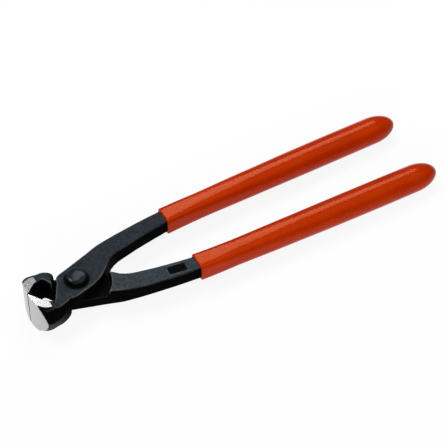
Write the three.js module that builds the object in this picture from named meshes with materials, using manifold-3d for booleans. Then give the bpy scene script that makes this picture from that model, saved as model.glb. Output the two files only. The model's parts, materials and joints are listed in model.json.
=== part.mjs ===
// Concreters nippers: two drop-forged levers cross in a lap joint on one rivet, and each handle has a dipped grip.
// Millimetres. Each lever is built in the tool's own frame, with the rivet axis on Z, the handles along +X and the
// lap plane at Z = 0. Both levers are the same forging: the lower one is the upper one given half a turn about X.
// The finished tool is then laid down as it rests on a bench, on its jaws and on the ends of its grips.

import * as THREE from "three";
import { mergeVertices } from "three/addons/utils/BufferGeometryUtils.js";
import Module from "manifold-3d";

// Whole tool
const OVERALL_LENGTH = 250; // cutting edges to the ends of the grips
const HEAD_REACH = 29.2; // rivet axis to the cutting edges

// Lap joint
const PLATE_THICKNESS = 7; // lap plane to the outer face of either lever's half of the joint
const LAP_CLEARANCE = 0.3; // between the two halves
const HANDLE_SHOULDER_RADIUS = 18.2; // the handle starts to thicken past the lap plane here, seen along the rivet
const HANDLE_SHOULDER_LENGTH = 1; // the slope from the lap plane to the handle's full thickness
const JAW_SHOULDER_RADIUS = 14; // the jaw's full width starts here, seen along the rivet
const BORE_CLEARANCE = 0.1; // radial, round the rivet's shank

// Rivet
const SHANK_RADIUS = 4;
const RIVET_HEAD_RADIUS = 5.7;
const RIVET_HEAD_HEIGHT = 3.7;
const RIVET_RIM_HEIGHT = 2.6; // straight rim under the crown
const RIVET_FLAT_RADIUS = 1.5; // flat in the middle of the head
const SEAT_CLEARANCE = 0.1; // under each head

// Jaw
const CUTTING_WIDTH = 24; // along the cutting edge
const JAW_REAR_WIDTH = 21; // across the ground sides, where they run out
const GROUND_SIDE_LENGTH = 8.8; // from the cutting edge to where the ground sides run out
const FRONT_RADIUS = 35; // of the ground front face, seen along the rivet
const EDGE_GAP = 0.3; // between the closed cutting edges
const EDGE_LAND = 0.45; // width of the blunt cutting edge
const BEVEL_ANGLE = THREE.MathUtils.degToRad(46.6); // inner face of the jaw against the tool's long axis
const BEVEL_DEPTH = 5.4; // middle plane to the end of the straight bevel
const FLANK = [
  [-30.5, 9.6],
  [-28.3, 13],
  [-26.5, 15.1],
  [-24, 16.5],
  [-22, 16.5],
  [-19.9, 16.1],
  [-16.6, 15.2],
  [-12.6, 13.2],
  [-9, 11.7],
]; // middle plane to the jaw's outer flank, as stations along X
const UPPER_FLANK_HEIGHT = 25; // where the flank's upper half would meet the middle plane
const LOWER_FLANK_HEIGHT = 15.1; // and its lower half
const UPPER_FULLNESS = [
  [-27, 1.25],
  [-22, 1.3],
  [-16, 1.35],
  [-11, 1.5],
  [-4, 2],
  [5, 12],
]; // exponent of the flank's upper half, from slanting at the jaw to upright at the neck
const LOWER_FULLNESS = [
  [-18, 2],
  [-9, 2.6],
]; // exponent of the flank's lower half

// Plate between the hollow and the rivet, and the neck that carries the jaw
const HOLLOW_REAR = 12.4; // rivet axis to the hollow's rear wall, on the middle plane
const HOLLOW_REAR_SLOPE = 0.57; // how far the rear wall runs forward for each millimetre towards its own jaw
const HOLLOW_DEPTH = 7.8; // middle plane to the bottom of the hollow in the jaw
const HOLLOW_CORNER = 2; // length of the turn between that bottom and the rear wall
const PLATE_CORNER_DEPTH = 3.4; // where the rear wall turns back into the plate's far edge
const NECK_REACH = 9; // rivet axis to the jaw's rear face
const STEP_LENGTH = 4.2; // the jaw's side drops to the plate within this length
const STEP_STEEPEST = 0.4; // share of that length where it drops most
const UNDERCUT_HEIGHT = 2.2; // the jaw's rear face starts this far below the lap plane
const REAR_FULLNESS = 0.8; // how full the turn from the jaw's side into its rear face is

// Arm and handle steel, as stations along X: inner edge, outer edge and upper face
const ARM_THICKNESS = 9.4;
const INNER_EDGE = [
  [2, -8.8],
  [8, -7],
  [13, -4.3],
  [16.5, -1.4],
  [20, 1.9],
  [23.4, 5.2],
  [29.2, 8.1],
  [36.4, 9.8],
  [44, 11.4],
  [50.7, 12.6],
  [64, 14.5],
  [88, 15.2],
  [128, 15],
  [169, 15.1],
  [221, 15.6],
];
const OUTER_EDGE = [
  [2, 11],
  [8, 12.9],
  [14, 14.9],
  [22, 18.2],
  [30, 20.6],
  [43, 22.7],
  [64, 24.8],
  [88, 25.9],
  [128, 27.8],
  [169, 29],
  [221, 29.6],
];
const RAMP_START = 13; // the upper face falls from the plate to the arm between these two
const RAMP_END = 36;
const HANDLE_SWELL = [
  [64, 0],
  [88, 0.2],
  [128, 1.05],
  [169, 1.5],
  [221, 1.35],
]; // added to half the arm's thickness inside the grip
const CORNER_SHARPNESS = [
  [2, 40],
  [12, 40],
  [22, 12],
  [34, 8],
  [64, 6],
  [88, 3.6],
  [128, 2.5],
  [169, 2.25],
  [221, 2.15],
]; // exponent of the section, from nearly square to oval

// Bare sunk panel on the forging's under face
const PANEL_PLACE = 52.4; // rivet axis to the panel's middle
const PANEL_LENGTH = 10.8;
const PANEL_WIDTH = 6;
const PANEL_RADIUS = 1.4;
const PANEL_DEPTH = 0.5;

// Dipped grip
const GRIP_START = 64;
const GRIP_WALL = 1;
const GRIP_CLEARANCE = 0.15; // between grip and steel
const GRIP_LIP = 0.7; // rounding of the open end
const LIP_SHOULDER = 0.3; // share of that rounding at its middle ring
const GRIP_END_WALL = 2.2; // beyond the end of the steel
const END_ROUNDING = 15; // length of the rounded end

// Fineness
const SECTION_POINTS = 24;
const ROUND_STEPS = 48;
const CURVE_STEPS = 12;
const END_STEPS = 7;
const FLANK_STEPS = 28;
const FLANK_STATIONS = [-30.5, -29.2, -28.3, -27.4, -26.5, -25.3, -24, -22, -19.9, -18, -16.6, -14.6, -12.6, -10.8, -9];
const STEEL_STATIONS = [2, 5, 8, 10.5, 13, 15, 17, 19, 21, 23.4, 26, 29.2, 33, 36.4, 42, 48, 55, 64, 88, 108, 128, 150, 175];
const GRIP_STATIONS = [76, 88, 100, 114, 128, 142, 156, 170, 184, 196];

const GRIP_END = OVERALL_LENGTH - HEAD_REACH;
const STEEL_END = GRIP_END - GRIP_END_WALL;
const HALF_LAP = LAP_CLEARANCE / 2;
const WELL_CLEAR = 30; // cutters reach this far past what they cut
const OVERRUN = 1; // shapes that are joined or cut run past each other by this
const HEAD_END = 4; // along X, inside the arm's solid, which starts before it
const WIDE_FLANK = 22; // the head's plan reaches this far past the flank before the flank is cut

const wasm = await Module();
wasm.setup();

// A closed three.js geometry as a solid, and back.
function solid(geometry) {
  const bare = geometry.clone();
  bare.deleteAttribute("normal");
  bare.deleteAttribute("uv");
  const merged = mergeVertices(bare, 1e-4);
  return new wasm.Manifold(
    new wasm.Mesh({
      numProp: 3,
      vertProperties: new Float32Array(merged.attributes.position.array),
      triVerts: new Uint32Array(merged.index.array),
    }),
  );
}

function geometryOf(shape) {
  const mesh = shape.getMesh();
  const geometry = new THREE.BufferGeometry();
  geometry.setAttribute("position", new THREE.BufferAttribute(mesh.vertProperties, 3));
  geometry.setIndex(new THREE.BufferAttribute(mesh.triVerts, 1));
  geometry.computeVertexNormals();
  return geometry;
}

// A smooth value along X through [x, value] stations.
function along(stations) {
  const places = stations.map(([x]) => x);
  const values = stations.map(([, value]) => value);
  const curve = new THREE.CubicInterpolant(places, values, 1);
  return (x) => curve.evaluate(THREE.MathUtils.clamp(x, places[0], places.at(-1)))[0];
}

const innerEdge = along(INNER_EDGE);
const outerEdge = along(OUTER_EDGE);
const handleSwell = along(HANDLE_SWELL);
const cornerSharpness = along(CORNER_SHARPNESS);

// The steel's section at x: its middle, its half sizes and its exponent.
function steelSection(x) {
  const half = ARM_THICKNESS / 2;
  const ramp = 1 - THREE.MathUtils.smoothstep(x, RAMP_START, RAMP_END);
  const top = half + ramp * (PLATE_THICKNESS - half) + handleSwell(x);
  const bottom = -half - handleSwell(x);
  return {
    y: (innerEdge(x) + outerEdge(x)) / 2,
    z: (top + bottom) / 2,
    halfWidth: (outerEdge(x) - innerEdge(x)) / 2,
    halfHeight: (top - bottom) / 2,
    exponent: cornerSharpness(x),
  };
}

// One ring of points at x: a superellipse round the steel's middle, larger by a margin and drawn in by a share.
function ring(x, margin, share) {
  const { y, z, halfWidth, halfHeight, exponent } = steelSection(x);
  const power = 2 / exponent;
  const points = [];
  for (let i = 0; i < SECTION_POINTS; i++) {
    const turn = (2 * Math.PI * i) / SECTION_POINTS;
    const across = Math.sign(Math.cos(turn)) * Math.abs(Math.cos(turn)) ** power;
    const up = Math.sign(Math.sin(turn)) * Math.abs(Math.sin(turn)) ** power;
    points.push(
      new THREE.Vector3(x, y + share * (halfWidth + margin) * across, z + share * (halfHeight + margin) * up),
    );
  }
  return points;
}

// Rings for a rounded end that closes at x = end.
function endRings(end, margin) {
  const rings = [];
  for (let i = 0; i < END_STEPS; i++) {
    const turn = (i / END_STEPS) * (Math.PI / 2);
    rings.push(ring(end - END_ROUNDING * (1 - Math.sin(turn)), margin, Math.cos(turn)));
  }
  return rings;
}

// A closed solid through rings of equal count along +X, with a point at each end.
function loft(rings, first, last) {
  const count = rings[0].length;
  const points = [first, ...rings.flat(), last];
  const faces = [];
  for (let i = 0; i < count; i++) {
    const next = (i + 1) % count;
    faces.push(0, 1 + next, 1 + i);
    for (let r = 0; r + 1 < rings.length; r++) {
      const here = 1 + r * count;
      const there = here + count;
      faces.push(here + i, here + next, there + next, here + i, there + next, there + i);
    }
    const end = 1 + (rings.length - 1) * count;
    faces.push(end + i, end + next, points.length - 1);
  }
  return solid(new THREE.BufferGeometry().setFromPoints(points).setIndex(faces));
}

function middle(x) {
  const { y, z } = steelSection(x);
  return new THREE.Vector3(x, y, z);
}

// A flat shape pushed along an axis from one place to another. The shape's own two axes are given in world terms.
function extrude(shape, across, up, from, to) {
  const depth = to - from;
  const geometry = new THREE.ExtrudeGeometry(shape, { depth, bevelEnabled: false, curveSegments: CURVE_STEPS });
  const normal = new THREE.Vector3().crossVectors(across, up);
  geometry.translate(0, 0, from);
  geometry.applyMatrix4(new THREE.Matrix4().makeBasis(across, up, normal));
  return solid(geometry);
}

const X = new THREE.Vector3(1, 0, 0);
const Y = new THREE.Vector3(0, 1, 0);
const Z = new THREE.Vector3(0, 0, 1);

// A round or cone-shaped cutter on the rivet axis.
function disc(lowerRadius, upperRadius, from, to) {
  const geometry = new THREE.CylinderGeometry(upperRadius, lowerRadius, to - from, ROUND_STEPS);
  geometry.rotateX(Math.PI / 2);
  geometry.translate(0, 0, (from + to) / 2);
  return solid(geometry);
}

// The head seen along the rivet: front face, hollow, and the plate round the rivet. The flank is left wide here.
function headPlan() {
  const frontCentre = FRONT_RADIUS - HEAD_REACH;
  const frontStart = Math.PI + Math.asin(EDGE_GAP / 2 / FRONT_RADIUS);
  const frontEnd = Math.PI + Math.asin(WIDE_FLANK / FRONT_RADIUS);
  const landX = EDGE_LAND - HEAD_REACH;
  const bevel = (y) => landX - (y + EDGE_GAP / 2) / Math.tan(BEVEL_ANGLE);
  const rearWall = (y) => -HOLLOW_REAR + HOLLOW_REAR_SLOPE * y;
  const farSlope = (outerEdge(HEAD_END) - outerEdge(HEAD_END - OVERRUN)) / OVERRUN;
  const farEdge = (x) => outerEdge(HEAD_END) + farSlope * (x - HEAD_END);
  const plateCornerX = rearWall(PLATE_CORNER_DEPTH);
  const bottomX = rearWall(-HOLLOW_DEPTH);

  const plan = new THREE.Shape();
  plan.absarc(frontCentre, 0, FRONT_RADIUS, frontStart, frontEnd, false);
  plan.lineTo(HEAD_END, -WIDE_FLANK);
  plan.lineTo(HEAD_END, outerEdge(HEAD_END));
  plan.lineTo(plateCornerX + PLATE_CORNER_DEPTH, farEdge(plateCornerX + PLATE_CORNER_DEPTH));
  plan.quadraticCurveTo(plateCornerX, farEdge(plateCornerX), plateCornerX, PLATE_CORNER_DEPTH);
  plan.lineTo(rearWall(HOLLOW_CORNER - HOLLOW_DEPTH), HOLLOW_CORNER - HOLLOW_DEPTH);
  plan.quadraticCurveTo(bottomX, -HOLLOW_DEPTH, bottomX - HOLLOW_CORNER, -HOLLOW_DEPTH);
  plan.quadraticCurveTo(bevel(-HOLLOW_DEPTH), -HOLLOW_DEPTH, bevel(-BEVEL_DEPTH), -BEVEL_DEPTH);
  plan.lineTo(landX, -EDGE_GAP / 2);
  plan.closePath();
  return plan;
}

// The head seen along Y: ground sides that narrow towards the rear, the step to the plate and the rear face.
function headSide() {
  const front = -HEAD_REACH - OVERRUN;
  const runOut = GROUND_SIDE_LENGTH - HEAD_REACH;
  const taper = (CUTTING_WIDTH - JAW_REAR_WIDTH) / 2 / GROUND_SIDE_LENGTH;
  const frontHalf = CUTTING_WIDTH / 2 + taper * OVERRUN;
  const rearHalf = JAW_REAR_WIDTH / 2;
  const stepX = runOut + STEP_STEEPEST * STEP_LENGTH;
  const rearFace = -NECK_REACH;
  const rearReach = (rearFace - runOut) / 2;

  const side = new THREE.Shape();
  side.moveTo(front, -frontHalf);
  side.lineTo(runOut, -rearHalf);
  side.bezierCurveTo(
    runOut + rearReach,
    -rearHalf + taper * rearReach,
    rearFace,
    -REAR_FULLNESS * rearHalf,
    rearFace,
    -UNDERCUT_HEIGHT,
  );
  side.lineTo(rearFace, HALF_LAP);
  side.lineTo(HEAD_END + OVERRUN, HALF_LAP);
  side.lineTo(HEAD_END + OVERRUN, PLATE_THICKNESS);
  side.lineTo(runOut + STEP_LENGTH, PLATE_THICKNESS);
  side.bezierCurveTo(stepX, PLATE_THICKNESS, stepX, rearHalf, runOut, rearHalf);
  side.lineTo(front, frontHalf);
  side.closePath();
  return side;
}

// The jaw's flank and the neck: sections across X, rounded on the jaw's side and left wide on the other.
function headFlank() {
  const end = HEAD_END + OVERRUN;
  const neck = [...FLANK, [end, -innerEdge(end)]];
  const depth = along(neck);
  const upperFullness = along(UPPER_FULLNESS);
  const lowerFullness = along(LOWER_FULLNESS);
  const section = (x) => {
    const points = [
      new THREE.Vector3(x, WELL_CLEAR, -LOWER_FLANK_HEIGHT),
      new THREE.Vector3(x, WELL_CLEAR, UPPER_FLANK_HEIGHT),
    ];
    for (let i = 0; i <= FLANK_STEPS; i++) {
      const turn = Math.PI * (0.5 - i / FLANK_STEPS);
      const height = turn > 0 ? UPPER_FLANK_HEIGHT : LOWER_FLANK_HEIGHT;
      const power = 2 / (turn > 0 ? upperFullness(x) : lowerFullness(x));
      const across = Math.max(Math.cos(turn), 0) ** power;
      const up = Math.sign(turn) * Math.abs(Math.sin(turn)) ** power;
      points.push(new THREE.Vector3(x, -depth(x) * across, height * up));
    }
    return points;
  };
  const stations = [...FLANK_STATIONS, end];
  const inside = (x) => new THREE.Vector3(x, 0, 0);
  return loft(stations.map(section), inside(stations[0]), inside(stations.at(-1)));
}

function makeHead() {
  const plan = extrude(headPlan(), X, Y, -WELL_CLEAR, WELL_CLEAR);
  const side = extrude(headSide(), X, Z, -WELL_CLEAR, WELL_CLEAR);
  const clear = disc(JAW_SHOULDER_RADIUS, JAW_SHOULDER_RADIUS, -WELL_CLEAR, HALF_LAP);
  return plan.intersect(side).intersect(headFlank()).subtract(clear);
}

function makeHandle() {
  const rings = STEEL_STATIONS.map((x) => ring(x, 0, 1));
  const handle = loft([...rings, ...endRings(STEEL_END, 0)], middle(STEEL_STATIONS[0]), middle(STEEL_END));
  const slope = HANDLE_SHOULDER_LENGTH / (ARM_THICKNESS / 2);
  const wideRadius = HANDLE_SHOULDER_RADIUS + slope * ARM_THICKNESS;
  return handle.subtract(disc(wideRadius, HANDLE_SHOULDER_RADIUS, HALF_LAP - ARM_THICKNESS, HALF_LAP));
}

// The sunk panel lies along the arm, on its under face.
function panelCutter() {
  const length = PANEL_LENGTH / 2;
  const width = PANEL_WIDTH / 2;
  const round = PANEL_RADIUS;
  const outline = new THREE.Shape();
  outline.absarc(length - round, width - round, round, 0, Math.PI / 2);
  outline.absarc(round - length, width - round, round, Math.PI / 2, Math.PI);
  outline.absarc(round - length, round - width, round, Math.PI, 1.5 * Math.PI);
  outline.absarc(length - round, round - width, round, 1.5 * Math.PI, 2 * Math.PI);
  const before = middle(PANEL_PLACE - length);
  const after = middle(PANEL_PLACE + length);
  const lengthwise = after.sub(before).setZ(0).normalize();
  const crosswise = new THREE.Vector3().crossVectors(Z, lengthwise);
  const floor = PANEL_DEPTH - ARM_THICKNESS / 2;
  const centre = middle(PANEL_PLACE);
  return extrude(outline, lengthwise, crosswise, floor - WELL_CLEAR, floor).translate([centre.x, centre.y, 0]);
}

function makeLever() {
  const boreRadius = SHANK_RADIUS + BORE_CLEARANCE;
  const bore = disc(boreRadius, boreRadius, -WELL_CLEAR, WELL_CLEAR);
  return geometryOf(makeHead().add(makeHandle()).subtract(bore).subtract(panelCutter()));
}

function makeGrip() {
  const skin = GRIP_CLEARANCE + GRIP_WALL;
  const lip = [
    ring(GRIP_START, skin - GRIP_LIP, 1),
    ring(GRIP_START + GRIP_LIP * LIP_SHOULDER, skin - GRIP_LIP * LIP_SHOULDER, 1),
    ring(GRIP_START + GRIP_LIP, skin, 1),
  ];
  const body = GRIP_STATIONS.map((x) => ring(x, skin, 1));
  const outside = loft([...lip, ...body, ...endRings(GRIP_END, skin)], middle(GRIP_START), middle(GRIP_END));
  const steel = STEEL_STATIONS.filter((x) => x >= GRIP_START).map((x) => ring(x, GRIP_CLEARANCE, 1));
  const mouth = GRIP_START - OVERRUN;
  const inside = loft(
    [ring(mouth, GRIP_CLEARANCE, 1), ...steel, ...endRings(STEEL_END, GRIP_CLEARANCE)],
    middle(mouth),
    middle(STEEL_END + GRIP_CLEARANCE),
  );
  return geometryOf(outside.subtract(inside));
}

// One rivet with a button head on each side.
function makeRivet() {
  const seat = PLATE_THICKNESS + SEAT_CLEARANCE;
  const top = seat + RIVET_HEAD_HEIGHT;
  const rim = seat + RIVET_RIM_HEIGHT;
  const crown = new THREE.EllipseCurve(
    RIVET_FLAT_RADIUS,
    rim,
    RIVET_HEAD_RADIUS - RIVET_FLAT_RADIUS,
    top - rim,
    0,
    Math.PI / 2,
  ).getPoints(CURVE_STEPS / 2);
  const upper = [
    new THREE.Vector2(SHANK_RADIUS, seat),
    new THREE.Vector2(RIVET_HEAD_RADIUS, seat),
    ...crown,
    new THREE.Vector2(0, top),
  ];
  const lower = upper.map((p) => new THREE.Vector2(p.x, -p.y)).reverse();
  const geometry = new THREE.LatheGeometry([...lower, ...upper], ROUND_STEPS);
  geometry.rotateX(Math.PI / 2);
  return geometryOf(solid(geometry));
}

function piece(name, geometry, color, roughness, metalness) {
  const mesh = new THREE.Mesh(geometry, new THREE.MeshStandardMaterial({ color, roughness, metalness }));
  mesh.name = name;
  return mesh;
}

// The slope of the bench against the tool: it touches the jaws' lower corner and the lowest part of the grips.
function restSlope() {
  const skin = GRIP_CLEARANCE + GRIP_WALL;
  const slopes = GRIP_STATIONS.map((x) => {
    const { z, halfHeight } = steelSection(x);
    return (CUTTING_WIDTH / 2 + z - halfHeight - skin) / (x + HEAD_REACH);
  });
  return Math.min(...slopes);
}

const FORGED_STEEL = 0x2b3138;
const RIVET_STEEL = 0x3a4048;
const GRIP_PVC = 0xc93a0c;

const lever = makeLever();
const grip = makeGrip();

const lower = new THREE.Group();
lower.rotation.x = Math.PI;
lower.add(piece("lower_lever", lever, FORGED_STEEL, 0.45, 0.7));
lower.add(piece("lower_grip", grip, GRIP_PVC, 0.35, 0));

const tool = new THREE.Group();
tool.add(piece("upper_lever", lever, FORGED_STEEL, 0.45, 0.7));
tool.add(piece("upper_grip", grip, GRIP_PVC, 0.35, 0));
tool.add(piece("pivot_rivet", makeRivet(), RIVET_STEEL, 0.4, 0.8));
tool.add(lower);
tool.rotation.y = Math.atan(restSlope());

// The origin is under the middle of the tool, on the bench.
const nippers = new THREE.Group();
nippers.add(tool);
nippers.updateMatrixWorld(true);
const box = new THREE.Box3().setFromObject(tool, true);
const centre = box.getCenter(new THREE.Vector3());
tool.position.set(-centre.x, -centre.y, -box.min.z);

export default nippers;
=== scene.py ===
"""The looks of a pair of concreters nippers: forged levers, ground jaws, a rivet and dipped grips."""

import json
import math

import bpy
import numpy as np
from mathutils import Matrix, Vector


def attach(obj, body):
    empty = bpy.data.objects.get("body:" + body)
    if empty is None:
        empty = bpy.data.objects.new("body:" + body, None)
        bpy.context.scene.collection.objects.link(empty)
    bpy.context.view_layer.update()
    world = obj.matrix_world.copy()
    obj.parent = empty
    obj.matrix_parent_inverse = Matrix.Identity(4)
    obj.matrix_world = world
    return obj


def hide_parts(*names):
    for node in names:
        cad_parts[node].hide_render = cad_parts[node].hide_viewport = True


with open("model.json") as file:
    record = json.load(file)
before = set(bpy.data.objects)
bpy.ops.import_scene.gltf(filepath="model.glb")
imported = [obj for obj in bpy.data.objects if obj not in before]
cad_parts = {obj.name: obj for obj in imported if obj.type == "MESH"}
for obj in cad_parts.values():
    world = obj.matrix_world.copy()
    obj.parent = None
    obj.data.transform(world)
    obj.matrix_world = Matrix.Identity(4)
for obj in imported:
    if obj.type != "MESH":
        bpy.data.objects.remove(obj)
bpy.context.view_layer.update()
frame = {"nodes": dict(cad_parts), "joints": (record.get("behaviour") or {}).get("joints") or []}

# Sizes are in millimetres in the tool's own frame, and are turned into metres in the frame at the end.
# The tool's frame has the rivet on Z, the handles along +X and the lap plane at Z = 0.
# The lower lever's own frame is the tool's, turned over about X, so both levers share their sizes.
# A pair that goes to smoothstep is where a change starts and where it is complete.
MM = 0.001

# Photograph. The view's middle lies at VIEW_OFFSET, to the right of the rivet and above it.
PHOTO_PIXELS = 447
SENSOR = 36
FOCAL_PIXELS = 1800
VIEW_AZIMUTH = math.radians(-29.636)
VIEW_ELEVATION = math.radians(48.014)
VIEW_DISTANCE = 987.75
VIEW_OFFSET = (80.157, 35.124)

# Lever mesh
LEVER_VOXEL = 0.3
FORGED_ROUNDS = 14
RELAX_SHARE = 0.5
PANEL_EASE = 0.12

# Ground faces of the jaw
FRONT_RADIUS = 35
HEAD_REACH = 29.2
CUTTING_HALF = 12
SIDE_RUN_OUT = -20.4
SIDE_DROP = 1.5
SIDE_TAPER = SIDE_DROP / (HEAD_REACH + SIDE_RUN_OUT)
GROUND_REACH = 0.16
SEAM_SHADE_REACH = 0.45
SIDE_LEAN = 0.06
SIDE_FALL = 0.115
LEAN_HEIGHT = (7, 10.4)
LEAN_END = (SIDE_RUN_OUT, -16)

# Sunk panel on the forging's under face
PANEL_PLACE = 52.4
PANEL_REACH = 7.5
PANEL_LEVEL = 3.5
PANEL_FLOOR = (-4.5, -4.2)
PANEL_TURN = (0.8, 0.95)

# Finish of the forging, with light painted on it. The finish-and-sheen shares say how much blue-grey each
# lever's faces and its jaw get; the upper lever's smaller share paints its faces in shade.
BEND_GAIN = 4
BEND_ROUNDS = 3
BEND_SPREAD = (0.25, 1.1)
FACE_TURN = (0.6, 0.97)
FACE_FINISH_AND_SHEEN = {"upper": 0.65, "lower": 1}
JAW_FINISH_AND_SHEEN = 0.7
JAW_END = (-12, 0)
LAP_REACH = 0.7
LAP_EDGE = (1.5, 3)
PLATE_FACE = 6.5
RIVET_SHADE = (6.6, 8)
UNDER_TURN = (-0.15, 0.08)
UNDER_END = (-27, -8)
UNDER_FLANK = 8.5

# Grips
GRIP_RINGS = 150
GRIP_POINTS = 96
GRIP_KNOTS = 14
GRIP_LIP = 0.7
GRIP_LIP_STEPS = 6
GRIP_LIP_CLEAR = 1.01
GRIP_WALL = 1
GRIP_END_WALL = 2.2
GRIP_END_ROUNDING = 15
GRIP_END_RINGS = 22
BORE_END_SHARE = 0.3
# Places along the handle, each with the exponent of the grip's oval there.
GRIP_OVALS = [[64, 6], [88, 3.6], [128, 2.5], [169, 2.25], [221, 2.15]]

# Rivet
RIVET_HEAD_RADIUS = 5.7
RIVET_SEAT = 7.1
RIVET_HEIGHT = 3.7
RIVET_RIM = 2.6
RIVET_FLAT = 1.5
RIVET_CENTRE_SHARE = 0.5
RIVET_CROWN_STEPS = 12
RIVET_TURN = (0.6, 0.95)
RIVET_TURNS = 96
SHANK_RADIUS = 4

# Colours, linear
# The forging's faces are blue-grey, partly a smoother finish and partly painted sheen; its sides are
# painted near black as shade.
FORGED_FINISH_SHEEN_DEEP = (0.021, 0.028, 0.035)
FORGED_FINISH_SHEEN_PALE = (0.053, 0.065, 0.077)
FORGED_SIDE_SHADE = (0.001, 0.0012, 0.0013)
# Painted shade in corners, round the rivet and on the lap faces, and the sunk panel's darker finish.
FORGED_SHADE_AND_PANEL = (0.003, 0.003, 0.003)
# Edges paler from wear, which also stand in for painted highlights on the rounded rims.
EDGE_WEAR_AND_HIGHLIGHT = (0.18, 0.187, 0.195)
WORN_STEEL = (0.085, 0.085, 0.085)
GROUND_DEEP = (0.45, 0.45, 0.45)
GROUND_PALE = (0.55, 0.55, 0.55)
# The rivet's top is painted blue-grey as sheen and its wall near black as shade.
RIVET_SHEEN_DEEP = (0.0075, 0.009, 0.012)
RIVET_SHEEN_PALE = (0.012, 0.015, 0.019)
RIVET_SIDE_SHADE = (0.0022, 0.0022, 0.0022)
RIVET_GLOSS_TINT = (0.8, 0.93, 1)
PVC_DEEP = (0.39, 0.019, 0.0004)
PVC_PALE = (0.43, 0.024, 0.0004)
PVC_GLOSS_TINT = (1, 0.3, 0)
FLOOR_COLOUR = (0.85, 0.85, 0.85)
ROOM_COLOUR = (1, 1, 1)

# Noise values over which a colour runs from deep to pale
NOISE_SPREAD = (0.3, 0.7)
FLECK_SPREAD = (0.32, 0.68)

# Scale of the grinding lines' noise, drawn out along Z
LINE_STRETCH = (1, 1, 0.03)

# Specular levels
FORGED_GLOSS = 0.015
RIVET_GLOSS = 0.09
PVC_GLOSS = 0.2

# Places of the sockets on a Mix node and on a Mix Shader node
MIX_COLOURS = (6, 7)
MIX_RESULT = 2
MIX_SHADERS = (1, 2)

# Stage, in metres. Each lamp is a ceiling panel, with a name, its two edges to the right of the tool,
# its two edges away from the camera, both in lamp heights, and its radiance.
FLOOR_SIZE = 12
FLOOR_WHITE_SHARE = 0.9
ROOM_LEVEL = 0.12
LAMP_HEIGHT = 1.2
LAMPS = (
    ("back", (-0.2, 0.34), (0.72, 1.25), 8),
    ("overhead", (0.15, 0.95), (-0.45, 0.45), 1.4),
    ("front", (-1.5, 0.5), (-4, -2.5), 21),
    ("left", (-0.25, -0.02), (0.3, 0.72), 8),
    ("spot", (-0.64, -0.38), (0.14, 0.46), 24),
)


def tool_to_frame():
    """The matrix from the tool's own frame, in millimetres, to the frame, in metres."""
    joint = frame["joints"][0]
    up = -Vector(joint["axis"]).normalized()
    across = Vector((0, 1, 0))
    along = across.cross(up)
    turn = Matrix((along, across, up)).transposed().to_4x4()
    return Matrix.Translation(Vector(joint["pos_m"])) @ turn @ Matrix.Scale(MM, 4)


TOOL = tool_to_frame()
TURNED_OVER = Matrix.Rotation(math.pi, 4, "X")
OWN_FRAME = {"upper": TOOL, "lower": TOOL @ TURNED_OVER}


def points_of(mesh):
    """A mesh's vertices as an array."""
    points = np.zeros(len(mesh.vertices) * 3)
    mesh.vertices.foreach_get("co", points)
    return points.reshape(-1, 3)


def edges_of(mesh):
    """A mesh's edges as pairs of vertex numbers."""
    edges = np.zeros(len(mesh.edges) * 2, dtype=int)
    mesh.edges.foreach_get("vertices", edges)
    return edges.reshape(-1, 2)


def moved(points, matrix):
    """Points through a 4 x 4 matrix."""
    array = np.array(matrix)
    return points @ array[:3, :3].T + array[:3, 3]


def smoothstep(values, low, high):
    """0 below low, 1 above high and a smooth rise between them."""
    share = np.clip((values - low) / (high - low), 0, 1)
    return share * share * (3 - 2 * share)


def quarter_turn(steps):
    """Even angles over a quarter turn, with both ends."""
    return [i / steps * math.pi / 2 for i in range(steps + 1)]


def smooth_faces(mesh):
    """Shades every face smoothly."""
    mesh.polygons.foreach_set("use_smooth", [True] * len(mesh.polygons))


def paint(mesh, name, values):
    """Keeps one number per vertex for a material to read."""
    layer = mesh.attributes.new(name, "FLOAT", "POINT")
    layer.data.foreach_set("value", values.astype(np.float32))


def own_normals(mesh, own):
    """A mesh's vertex normals in its piece's own frame."""
    normals = np.zeros(len(mesh.vertices) * 3)
    mesh.vertices.foreach_get("normal", normals)
    return normals.reshape(-1, 3) @ np.array(own.to_3x3().normalized())


def add_piece(name, mesh, body, node):
    """Adds a piece that stands for a CAD node and rides on its body, and hides the node."""
    piece = bpy.data.objects.new(name, mesh)
    bpy.context.scene.collection.objects.link(piece)
    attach(piece, body)
    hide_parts(node)


# Materials


def new_material(name):
    """A material with a Principled shader, as (material, node tree, shader)."""
    material = bpy.data.materials.new(name)
    material.use_nodes = True
    tree = material.node_tree
    return material, tree, tree.nodes["Principled BSDF"]


def own_place(tree):
    """A point's place in its piece's own coordinates, in metres."""
    return tree.nodes.new("ShaderNodeTexCoord").outputs["Object"]


def noise(tree, place, scale, detail, roughness=0.5):
    """A noise texture on a place's coordinates."""
    node = tree.nodes.new("ShaderNodeTexNoise")
    node.inputs["Scale"].default_value = scale
    node.inputs["Detail"].default_value = detail
    node.inputs["Roughness"].default_value = roughness
    tree.links.new(place, node.inputs["Vector"])
    return node.outputs["Fac"]


def ramp(tree, value, spread, deep, pale):
    """A colour that runs from deep to pale over a spread of values."""
    node = tree.nodes.new("ShaderNodeValToRGB")
    for element, position, colour in zip(node.color_ramp.elements, spread, (deep, pale)):
        element.position = position
        element.color = (*colour, 1)
    tree.links.new(value, node.inputs["Fac"])
    return node.outputs["Color"]


def remap(tree, value, low, high):
    """A value from 0 to 1 spread between two levels."""
    node = tree.nodes.new("ShaderNodeMapRange")
    node.inputs["To Min"].default_value = low
    node.inputs["To Max"].default_value = high
    tree.links.new(value, node.inputs["Value"])
    return node.outputs["Result"]


def bump(tree, height, strength, depth):
    """A bump from a height, with its depth in millimetres."""
    node = tree.nodes.new("ShaderNodeBump")
    node.inputs["Strength"].default_value = strength
    node.inputs["Distance"].default_value = depth * MM
    tree.links.new(height, node.inputs["Height"])
    return node.outputs["Normal"]


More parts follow.
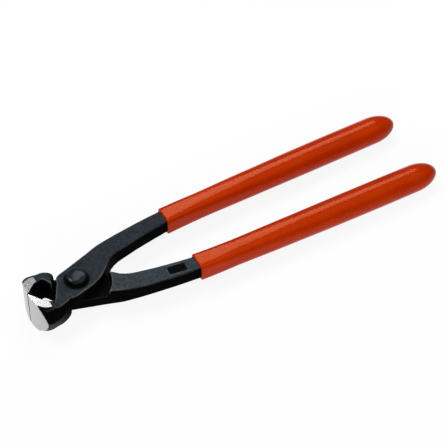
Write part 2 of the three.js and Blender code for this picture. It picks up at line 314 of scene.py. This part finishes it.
def painted(tree, name):
    """A number painted on the mesh."""
    node = tree.nodes.new("ShaderNodeAttribute")
    node.attribute_name = name
    return node.outputs["Fac"]


def mixed(tree, share, first, second):
    """Two colours mixed by a share. Each is a colour or another node's output."""
    node = tree.nodes.new("ShaderNodeMix")
    node.data_type = "RGBA"
    tree.links.new(share, node.inputs["Factor"])
    for place, colour in zip(MIX_COLOURS, (first, second)):
        if isinstance(colour, tuple):
            node.inputs[place].default_value = (*colour, 1)
        else:
            tree.links.new(colour, node.inputs[place])
    return node.outputs[MIX_RESULT]


def maths(tree, operation, first, second):
    """A step of arithmetic on two values. Each is a decimal number or another node's output."""
    node = tree.nodes.new("ShaderNodeMath")
    node.operation = operation
    for socket, value in zip(node.inputs, (first, second)):
        if isinstance(value, float):
            socket.default_value = value
        else:
            tree.links.new(value, socket)
    return node.outputs[0]


def forged_steel():
    """Black oxide on a drop forging: faces blue-grey, partly finish and partly painted sheen, sides painted
    near black as shade, edges paler from wear and painted highlight, painted shade in corners, and a worn
    flank.
    """
    material, tree, shader = new_material("forged_black")
    place = own_place(tree)
    cloud = noise(tree, place, scale=90, detail=4)
    grain = noise(tree, place, scale=1400, detail=3)
    flecks = noise(tree, place, scale=500, detail=6, roughness=0.7)
    # Faces blue-grey, partly finish and partly painted sheen; sides painted near black as shade.
    face = ramp(tree, flecks, FLECK_SPREAD, FORGED_FINISH_SHEEN_DEEP, FORGED_FINISH_SHEEN_PALE)
    colour = mixed(tree, painted(tree, "face"), FORGED_SIDE_SHADE, face)
    # Edges paler from wear and from painted rim highlights.
    edge_wear_and_highlight = maths(tree, "MULTIPLY", painted(tree, "edge_wear_and_highlight"), remap(tree, grain, low=0.3, high=0.9))
    colour = mixed(tree, edge_wear_and_highlight, colour, EDGE_WEAR_AND_HIGHLIGHT)
    # Painted shade in corners, round the rivet and on the lap faces, and the darker sunk panel.
    colour = mixed(tree, painted(tree, "shade_and_panel"), colour, FORGED_SHADE_AND_PANEL)
    worn = maths(tree, "MULTIPLY", painted(tree, "worn"), remap(tree, flecks, low=0.5, high=1))
    colour = mixed(tree, worn, colour, WORN_STEEL)
    tree.links.new(colour, shader.inputs["Base Color"])
    tree.links.new(worn, shader.inputs["Metallic"])
    tree.links.new(remap(tree, cloud, low=0.7, high=0.85), shader.inputs["Roughness"])
    tree.links.new(bump(tree, grain, strength=0.2, depth=0.1), shader.inputs["Normal"])
    shader.inputs["Specular IOR Level"].default_value = FORGED_GLOSS
    return material


def ground_steel():
    """Bare steel off a grinding wheel, with fine lines along the cutting edge."""
    material, tree, shader = new_material("ground_steel")
    stretch = tree.nodes.new("ShaderNodeMapping")
    stretch.inputs["Scale"].default_value = LINE_STRETCH
    tree.links.new(own_place(tree), stretch.inputs["Vector"])
    lines = noise(tree, stretch.outputs["Vector"], scale=6000, detail=3)
    colour = ramp(tree, lines, NOISE_SPREAD, GROUND_DEEP, GROUND_PALE)
    tree.links.new(colour, shader.inputs["Base Color"])
    tree.links.new(remap(tree, lines, low=0.25, high=0.31), shader.inputs["Roughness"])
    tree.links.new(bump(tree, lines, strength=0.15, depth=0.05), shader.inputs["Normal"])
    shader.inputs["Metallic"].default_value = 1
    return material


def rivet_steel():
    """Black oxide on the rivet, glossier than the forgings, with painted sheen on its top and painted shade
    on its wall.
    """
    material, tree, shader = new_material("rivet_black")
    cloud = noise(tree, own_place(tree), scale=200, detail=3)
    # Painted sheen on the top, painted shade on the wall.
    top = ramp(tree, cloud, NOISE_SPREAD, RIVET_SHEEN_DEEP, RIVET_SHEEN_PALE)
    colour = mixed(tree, painted(tree, "face"), RIVET_SIDE_SHADE, top)
    tree.links.new(colour, shader.inputs["Base Color"])
    tree.links.new(remap(tree, cloud, low=0.16, high=0.22), shader.inputs["Roughness"])
    shader.inputs["Specular IOR Level"].default_value = RIVET_GLOSS
    shader.inputs["Specular Tint"].default_value = (*RIVET_GLOSS_TINT, 1)
    return material


def grip_pvc():
    """Glossy dipped PVC with a faint waviness."""
    material, tree, shader = new_material("grip_pvc")
    place = own_place(tree)
    cloud = noise(tree, place, scale=60, detail=2)
    waves = noise(tree, place, scale=220, detail=2)
    colour = ramp(tree, cloud, NOISE_SPREAD, PVC_DEEP, PVC_PALE)
    tree.links.new(colour, shader.inputs["Base Color"])
    tree.links.new(remap(tree, cloud, low=0.15, high=0.2), shader.inputs["Roughness"])
    tree.links.new(bump(tree, waves, strength=0.04, depth=0.1), shader.inputs["Normal"])
    shader.inputs["Specular IOR Level"].default_value = PVC_GLOSS
    shader.inputs["Specular Tint"].default_value = (*PVC_GLOSS_TINT, 1)
    return material


# Levers


def fine_mesh(node):
    """An even, fine copy of a CAD node's mesh."""
    coarse = bpy.data.objects.new("coarse", frame["nodes"][node].data.copy())
    bpy.context.scene.collection.objects.link(coarse)
    remesh = coarse.modifiers.new("even", "REMESH")
    remesh.mode = "VOXEL"
    remesh.voxel_size = LEVER_VOXEL * MM
    shown = coarse.evaluated_get(bpy.context.evaluated_depsgraph_get())
    mesh = bpy.data.meshes.new_from_object(shown)
    mesh.materials.clear()
    bpy.data.objects.remove(coarse)
    return mesh


def ground_faces(points):
    """Which points lie on the ground front face and which on the ground sides, in the lever's own frame."""
    x, y, z = points.T
    front = np.abs(np.hypot(x - FRONT_RADIUS + HEAD_REACH, y) - FRONT_RADIUS) < GROUND_REACH
    front &= x < SIDE_RUN_OUT
    side = np.abs(np.abs(z) - CUTTING_HALF + (x + HEAD_REACH) * SIDE_TAPER) < GROUND_REACH
    side &= x < SIDE_RUN_OUT
    return front, side


def seat_ground(points, front, side):
    """Sets the ground points exactly on their faces."""
    x, y, z = points.T
    z[side] = np.sign(z[side]) * (CUTTING_HALF - (x[side] + HEAD_REACH) * SIDE_TAPER)
    x[front] = FRONT_RADIUS - HEAD_REACH - np.sqrt(FRONT_RADIUS**2 - y[front] ** 2)


def neighbour_mean(values, edges):
    """The mean of each point's neighbours."""
    count = len(values)
    share = np.bincount(edges.ravel(), minlength=count)
    total = np.zeros_like(values)
    for axis in range(values.shape[1]):
        total[:, axis] += np.bincount(edges[:, 0], values[edges[:, 1], axis], count)
        total[:, axis] += np.bincount(edges[:, 1], values[edges[:, 0], axis], count)
    return total / share[:, None]


def relaxed(values, edges, ease, rounds):
    """Values drawn towards their neighbours' a few times. Ease says how freely each one changes."""
    for _ in range(rounds):
        values = values + RELAX_SHARE * ease[:, None] * (neighbour_mean(values, edges) - values)
    return values


def near_panel(points):
    """Which points lie round the sunk panel on the forging's under face, in the lever's own frame."""
    x, _, z = points.T
    return (np.abs(x - PANEL_PLACE) < PANEL_REACH) & (z < -PANEL_LEVEL)


def lean_ground_sides(points):
    """Leans the jaw's ground sides a little outwards and back, as a hand-held grind leaves them."""
    x, y, z = points.T
    share = smoothstep(np.abs(z), *LEAN_HEIGHT) * (1 - smoothstep(x, *LEAN_END))
    z -= np.sign(z) * (SIDE_LEAN * np.abs(y) + SIDE_FALL * np.clip(x + HEAD_REACH, 0, None)) * share


def edge_bend(points, normals, edges):
    """How sharply the forging bends at each point: above 0 on its edges and below 0 in its corners."""
    outward = np.einsum("ij,ij->i", points - neighbour_mean(points, edges), normals)
    free = np.ones(len(points))
    return relaxed(outward[:, None] * BEND_GAIN / LEVER_VOXEL**2, edges, free, BEND_ROUNDS)[:, 0]


def shade_and_panel_places(points, normals, bend):
    """Where the forging is darker: painted shade in corners, a painted shadow round the rivet, painted
    shade on the lap faces, and the sunk panel's own darker finish.
    """
    x, y, z = points.T
    corner_shade = smoothstep(-bend, *BEND_SPREAD)
    rivet_shadow = (1 - smoothstep(np.hypot(x, y), *RIVET_SHADE)) * (np.abs(z) > PLATE_FACE)
    in_panel = (np.abs(x - PANEL_PLACE) < PANEL_REACH) * (z < 0) * smoothstep(z, *PANEL_FLOOR)
    in_panel *= smoothstep(-normals[:, 2], *PANEL_TURN)
    lap_shade = (np.abs(z) < LAP_REACH) * smoothstep(np.abs(normals[:, 2]), *FACE_TURN)
    return np.max([corner_shade, rivet_shadow, in_panel, lap_shade], axis=0)


def paint_masks(mesh, edges, own, finish_and_sheen):
    """Paints the blue-grey on faces (finish and painted sheen, with painted shade on the sides), paler
    edges from wear and painted highlight, a worn flank, and painted shade or the darker panel.
    """
    points = moved(points_of(mesh), own.inverted())
    normals = own_normals(mesh, own)
    bend = edge_bend(points, normals, edges)
    x, y, z = points.T
    rise = normals[:, 2]
    # Share of blue-grey on faces along Z, partly finish and partly painted sheen; less on the upper lever's
    # faces as painted shade, and less towards the jaw.
    finish_and_sheen_shares = np.minimum(finish_and_sheen, JAW_FINISH_AND_SHEEN + (1 - JAW_FINISH_AND_SHEEN) * smoothstep(x, *JAW_END))
    worn = smoothstep(-rise, *UNDER_TURN) * (1 - smoothstep(-rise, *FACE_TURN))
    worn *= (1 - smoothstep(x, *UNDER_END)) * (y < -UNDER_FLANK)
    paint(mesh, "face", finish_and_sheen_shares * smoothstep(np.abs(rise), *FACE_TURN))
    # Edges paler from wear and painted rim highlights.
    paint(mesh, "edge_wear_and_highlight", smoothstep(bend, *BEND_SPREAD) * smoothstep(np.abs(z), *LAP_EDGE))
    paint(mesh, "worn", worn)
    # Painted shade in corners, round the rivet and on the lap faces; the sunk panel's darker finish.
    paint(mesh, "shade_and_panel", shade_and_panel_places(points, normals, bend))


def make_lever(side, body, materials):
    """One forged lever: soft forged edges, crisp ground faces."""
    node = f"{side}_lever"
    own = OWN_FRAME[side]
    mesh = fine_mesh(node)
    edges = edges_of(mesh)
    points = moved(points_of(mesh), own.inverted())
    front, flat = ground_faces(points)
    seat_ground(points, front, flat)
    on_ground = front | flat
    ease = np.where(on_ground, 0, np.where(near_panel(points), PANEL_EASE, 1))
    points = relaxed(points, edges, ease, FORGED_ROUNDS)
    lean_ground_sides(points)
    mesh.vertices.foreach_set("co", moved(points, own).ravel())
    for material in materials:
        mesh.materials.append(material)
    # A strip of the front face along the seam between the jaws keeps the forged material, painted near
    # black as shade in the seam.
    on_ground &= ~(front & (np.abs(points[:, 1]) < SEAM_SHADE_REACH))
    bare = [all(on_ground[v] for v in face.vertices) for face in mesh.polygons]
    mesh.polygons.foreach_set("material_index", [int(b) for b in bare])
    smooth_faces(mesh)
    mesh.update()
    paint_masks(mesh, edges, own, FACE_FINISH_AND_SHEEN[side])
    add_piece(f"{side}_forging", mesh, body, node)


# Grips


def cut_bounds(points, edges, x):
    """The lowest and highest corner of a mesh's section at x."""
    a, b = points[edges[:, 0]], points[edges[:, 1]]
    over = (a[:, 0] - x) * (b[:, 0] - x) < 0
    a, b = a[over], b[over]
    cut = a + (b - a) * ((x - a[:, 0]) / (b[:, 0] - a[:, 0]))[:, None]
    return cut.min(0)[1:], cut.max(0)[1:]


def natural_curve(places, values):
    """A natural cubic through vectors at even places, as a function of place."""
    step = places[1] - places[0]
    count = len(places)
    matrix = np.eye(count)
    right = np.zeros_like(values)
    # Each row ties one knot's bend to its neighbours', so that the slope is even through the knot.
    for i in range(1, count - 1):
        matrix[i, i - 1 : i + 2] = (1, 4, 1)
        right[i] = 6 * (values[i - 1] - 2 * values[i] + values[i + 1]) / step**2
    bend = np.linalg.solve(matrix, right)

    def curve(x):
        i = int(np.clip((x - places[0]) // step, 0, count - 2))
        s = (x - places[i]) / step
        r = 1 - s
        straight = r * values[i] + s * values[i + 1]
        return straight + ((r**3 - r) * bend[i] + (s**3 - s) * bend[i + 1]) * step**2 / 6

    return curve


def oval(exponent):
    """Points of a superellipse of half sizes 1, evenly round it."""
    turn = np.arange(GRIP_POINTS) * 2 * math.pi / GRIP_POINTS
    across, up = np.cos(turn), np.sin(turn)
    reach = (np.abs(across) ** exponent + np.abs(up) ** exponent) ** (-1 / exponent)
    return np.stack([across * reach, up * reach], axis=1)


def loft(rings):
    """The points and faces of a closed mesh through rings of equal count, with a point at each end."""
    count = len(rings[0])
    points = [rings[0].mean(0), *np.concatenate(rings), rings[-1].mean(0)]
    last = len(points) - 1
    faces = []
    for i in range(count):
        after = (i + 1) % count
        faces.append((0, 1 + after, 1 + i))
        for r in range(len(rings) - 1):
            here, there = 1 + r * count, 1 + (r + 1) * count
            faces.append((here + i, here + after, there + after, there + i))
        end = 1 + (len(rings) - 1) * count
        faces.append((end + i, end + after, last))
    return np.array(points), faces


def grip_section(points, edges, places):
    """The middle and the half sizes of a CAD grip's section, as a function of place along the handle."""
    rows = []
    for x in places:
        low, high = cut_bounds(points, edges, x)
        rows.append(np.concatenate([(low + high) / 2, (high - low) / 2]))
    return natural_curve(places, np.array(rows))


def grip_rings(points, edges):
    """Rings of a dipped grip, from the end of its bore over the lip and along its outside to the tip."""
    start, end = points[:, 0].min(), points[:, 0].max()
    round_start = end - GRIP_END_ROUNDING
    bore_end = end - GRIP_END_WALL
    places = np.linspace(start + GRIP_LIP * GRIP_LIP_CLEAR, round_start, GRIP_KNOTS)
    section = grip_section(points, edges, places)
    ovals = np.array(GRIP_OVALS)

    def ring(x, margin, share):
        y, z, width, height = section(np.clip(x, places[0], places[-1]))
        shape = oval(np.interp(x, ovals[:, 0], ovals[:, 1]))
        sizes = np.array([width + margin, height + margin]) * share
        return np.column_stack([np.full(GRIP_POINTS, x), shape * sizes + (y, z)])

    bore_places = np.linspace(start + GRIP_LIP, bore_end - GRIP_END_ROUNDING, GRIP_KNOTS)
    rings = [ring(bore_end, -GRIP_WALL, BORE_END_SHARE)]
    rings += [ring(x, -GRIP_WALL, 1) for x in reversed(bore_places)]
    rings.append(ring(start, -GRIP_WALL, 1))
    for turn in quarter_turn(GRIP_LIP_STEPS):
        rings.append(ring(start + GRIP_LIP * (1 - math.cos(turn)), GRIP_LIP * (math.sin(turn) - 1), 1))
    rings += [ring(x, 0, 1) for x in np.linspace(start + GRIP_LIP, round_start, GRIP_RINGS)[1:]]
    for turn in quarter_turn(GRIP_END_RINGS)[1:-1]:
        rings.append(ring(round_start + GRIP_END_ROUNDING * math.sin(turn), 0, math.cos(turn)))
    return rings


def make_grip(side, body, material):
    """One dipped grip, as a fine loft through the CAD grip's sections."""
    node = f"{side}_grip"
    own = OWN_FRAME[side]
    cad_mesh = frame["nodes"][node].data
    points = moved(points_of(cad_mesh), own.inverted())
    corners, faces = loft(grip_rings(points, edges_of(cad_mesh)))
    corners[-1, 0] = points[:, 0].max()
    mesh = bpy.data.meshes.new(f"{side}_dip")
    mesh.from_pydata(moved(corners, own).tolist(), [], faces)
    mesh.materials.append(material)
    smooth_faces(mesh)
    add_piece(f"{side}_dip", mesh, body, node)


# Rivet


def make_rivet(material):
    """The rivet, turned finely about its axis."""
    top = RIVET_SEAT + RIVET_HEIGHT
    rim = RIVET_SEAT + RIVET_RIM
    profile = [(SHANK_RADIUS, RIVET_SEAT), (RIVET_HEAD_RADIUS, RIVET_SEAT)]
    for turn in quarter_turn(RIVET_CROWN_STEPS):
        reach = RIVET_FLAT + (RIVET_HEAD_RADIUS - RIVET_FLAT) * math.cos(turn)
        profile.append((reach, rim + (top - rim) * math.sin(turn)))
    profile.append((RIVET_FLAT * RIVET_CENTRE_SHARE, top))
    whole = [(r, -z) for r, z in reversed(profile)] + profile
    turns = np.arange(RIVET_TURNS) * 2 * math.pi / RIVET_TURNS
    around = np.column_stack([np.cos(turns), np.sin(turns)])
    rings = [np.column_stack([r * around, np.full(RIVET_TURNS, z)]) for r, z in whole]
    corners, faces = loft(rings)
    mesh = bpy.data.meshes.new("rivet")
    mesh.from_pydata(moved(corners, TOOL).tolist(), [], faces)
    mesh.materials.append(material)
    smooth_faces(mesh)
    mesh.update()
    # The rivet's top gets painted sheen and its wall painted shade.
    paint(mesh, "face", smoothstep(np.abs(own_normals(mesh, TOOL)[:, 2]), *RIVET_TURN))
    add_piece("rivet", mesh, "upper_half", "pivot_rivet")


# Stage


def make_camera():
    """The camera at the photograph's place."""
    sin_a, cos_a = math.sin(VIEW_AZIMUTH), math.cos(VIEW_AZIMUTH)
    sin_e, cos_e = math.sin(VIEW_ELEVATION), math.cos(VIEW_ELEVATION)
    back = Vector((sin_a * cos_e, -cos_a * cos_e, sin_e))
    right = Vector((cos_a, sin_a, 0))
    up = back.cross(right)
    eye = back * VIEW_DISTANCE + right * VIEW_OFFSET[0] + up * VIEW_OFFSET[1]
    turn = Matrix((right, up, back)).transposed().to_4x4()
    data = bpy.data.cameras.new("camera")
    data.sensor_width = SENSOR
    data.lens = FOCAL_PIXELS / PHOTO_PIXELS * SENSOR
    camera = bpy.data.objects.new("camera", data)
    camera.matrix_world = Matrix.Translation(TOOL @ eye) @ TOOL.to_3x3().normalized().to_4x4() @ turn
    bpy.context.scene.collection.objects.link(camera)
    bpy.context.scene.camera = camera


def seen_white(tree):
    """1 where a camera, glossy or transmission ray arrives, and 0 for the light on the object."""
    path = tree.nodes.new("ShaderNodeLightPath")
    direct = maths(tree, "MAXIMUM", path.outputs["Is Camera Ray"], path.outputs["Is Glossy Ray"])
    return maths(tree, "MAXIMUM", direct, path.outputs["Is Transmission Ray"])


def make_floor():
    """A plain pale floor that looks white and keeps the shadow."""
    half = FLOOR_SIZE / 2
    corners = [(-half, -half, 0), (half, -half, 0), (half, half, 0), (-half, half, 0)]
    mesh = bpy.data.meshes.new("floor")
    mesh.from_pydata(corners, [], [(0, 1, 2, 3)])
    floor = bpy.data.objects.new("floor", mesh)
    bpy.context.scene.collection.objects.link(floor)
    material, tree, shader = new_material("floor")
    shader.inputs["Base Color"].default_value = (*FLOOR_COLOUR, 1)
    shader.inputs["Roughness"].default_value = 1
    shader.inputs["Specular IOR Level"].default_value = 0
    white = tree.nodes.new("ShaderNodeEmission")
    share = maths(tree, "MULTIPLY", seen_white(tree), FLOOR_WHITE_SHARE)
    mix = tree.nodes.new("ShaderNodeMixShader")
    tree.links.new(share, mix.inputs["Fac"])
    for place, output in zip(MIX_SHADERS, (shader.outputs["BSDF"], white.outputs["Emission"])):
        tree.links.new(output, mix.inputs[place])
    tree.links.new(mix.outputs["Shader"], tree.nodes["Material Output"].inputs["Surface"])
    mesh.materials.append(material)


def make_world():
    """A dim even room."""
    world = bpy.data.worlds.new("studio")
    bpy.context.scene.world = world
    world.use_nodes = True
    background = world.node_tree.nodes["Background"]
    background.inputs["Color"].default_value = (*ROOM_COLOUR, 1)
    background.inputs["Strength"].default_value = ROOM_LEVEL


def add_lamp(name, right, away, radiance):
    """A lit ceiling panel between two places to the right of the tool and two away from the camera."""
    width, depth = [LAMP_HEIGHT * (high - low) for low, high in (right, away)]
    data = bpy.data.lights.new(name, "AREA")
    data.shape = "RECTANGLE"
    data.size = width
    data.size_y = depth
    data.energy = radiance * math.pi * width * depth
    lamp = bpy.data.objects.new(name, data)
    middle = Vector((sum(right) / 2 * LAMP_HEIGHT, sum(away) / 2 * LAMP_HEIGHT, LAMP_HEIGHT))
    lamp.matrix_world = Matrix.Rotation(VIEW_AZIMUTH, 4, "Z") @ Matrix.Translation(middle)
    bpy.context.scene.collection.objects.link(lamp)


forged = forged_steel()
ground = ground_steel()
pvc = grip_pvc()
for half_name in ("upper", "lower"):
    make_lever(half_name, f"{half_name}_half", [forged, ground])
    make_grip(half_name, f"{half_name}_half", pvc)
make_rivet(rivet_steel())
make_camera()
make_floor()
make_world()
for lamp_row in LAMPS:
    add_lamp(*lamp_row)

bpy.context.scene.view_settings.view_transform = "Standard"
